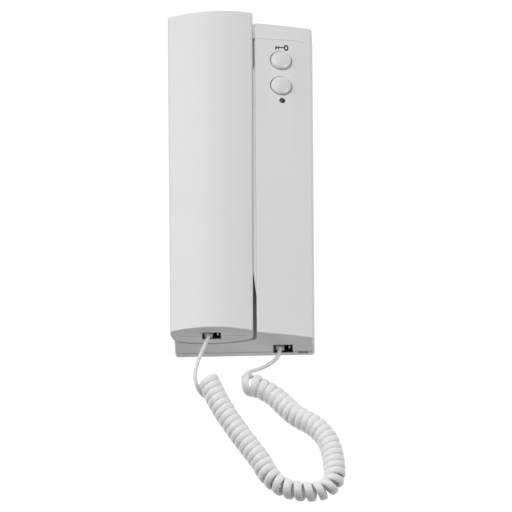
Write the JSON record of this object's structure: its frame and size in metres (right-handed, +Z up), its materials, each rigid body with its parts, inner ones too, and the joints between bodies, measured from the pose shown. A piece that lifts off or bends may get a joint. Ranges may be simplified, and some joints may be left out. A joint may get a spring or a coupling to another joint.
{
  "type": "wall audiophone",
  "caption": "Slim wall-hung intercom handset phone: lens-shaped handset on a shallow base with push buttons, a lamp and a curly cord looping between two modular jacks.",
  "frame": {"origin": "centre of the back plate's rear face, which lies against the wall", "axes": "+X to the right as seen by the user, +Y into the wall, +Z up; the front faces -Y"},
  "size_m": [0.1057, 0.0365, 0.3399],
  "materials": {
    "shell_plastic": "glossy moulded ABS",
    "button_plastic": "glossy moulded ABS",
    "cord_plastic": "satin flexible PVC",
    "dark_plastic": "matte black moulding",
    "clear_plastic": "clear polycarbonate",
    "board_laminate": "solder-masked laminate",
    "terminal_plastic": "moulded nylon",
    "screw_steel": "zinc-plated steel",
    "soft_rubber": "matte rubber and foam",
    "lead_wire": "PVC insulated wire"
  },
  "bodies": {
    "base": {"back_plate": "shell_plastic", "base_cover": "shell_plastic", "main_board": "board_laminate", "board_screw_1": "screw_steel", "board_screw_2": "screw_steel", "board_screw_3": "screw_steel", "board_screw_4": "screw_steel", "terminal_block": "terminal_plastic", "terminal_screw_1": "screw_steel", "terminal_screw_2": "screw_steel", "terminal_screw_3": "screw_steel", "terminal_screw_4": "screw_steel", "terminal_screw_5": "screw_steel", "terminal_screw_6": "screw_steel", "terminal_screw_7": "screw_steel", "terminal_screw_8": "screw_steel", "base_jack": "dark_plastic", "door_switch": "dark_plastic", "service_switch": "dark_plastic", "hook_switch": "dark_plastic", "call_sounder": "dark_plastic", "speech_capacitor": "dark_plastic", "status_led": "clear_plastic", "lamp_lens": "dark_plastic", "base_plug": "clear_plastic", "base_tail": "cord_plastic", "curly_coil": "cord_plastic"},
    "handset": {"handset_front_shell": "shell_plastic", "handset_rear_shell": "shell_plastic", "shell_screw_top": "screw_steel", "shell_screw_bottom": "screw_steel", "earpiece_seal": "soft_rubber", "earpiece_capsule": "dark_plastic", "microphone_boot": "soft_rubber", "microphone_capsule": "screw_steel", "handset_board": "board_laminate", "handset_jack": "dark_plastic", "earpiece_lead": "lead_wire", "microphone_lead": "lead_wire", "handset_plug": "clear_plastic", "handset_tail": "cord_plastic"},
    "plunger": {"hook_plunger": "button_plastic"},
    "door_press": {"door_button": "button_plastic", "door_switch_key": "dark_plastic"},
    "service_press": {"service_button": "button_plastic", "service_switch_key": "dark_plastic"}
  },
  "joints": [
    {"name": "handset_lift", "type": "slide", "parent": "base", "child": "handset", "axis": [0, -0.866, 0.5], "range_m": [0, 0.07]},
    {"name": "hook_plunger_travel", "type": "slide", "parent": "base", "child": "plunger", "axis": [0, -1, 0], "range_m": [0, 0.0025]},
    {"name": "door_button_press", "type": "slide", "parent": "base", "child": "door_press", "axis": [0, 1, 0], "range_m": [0, 0.0012], "stiffness_N_per_m": 400, "springref_m": -0.002},
    {"name": "service_button_press", "type": "slide", "parent": "base", "child": "service_press", "axis": [0, 1, 0], "range_m": [0, 0.0012], "stiffness_N_per_m": 400, "springref_m": -0.002}
  ],
  "couplings": [
    {"joint": "hook_plunger_travel", "follows": "handset_lift", "ratio": 0.035}
  ]
}
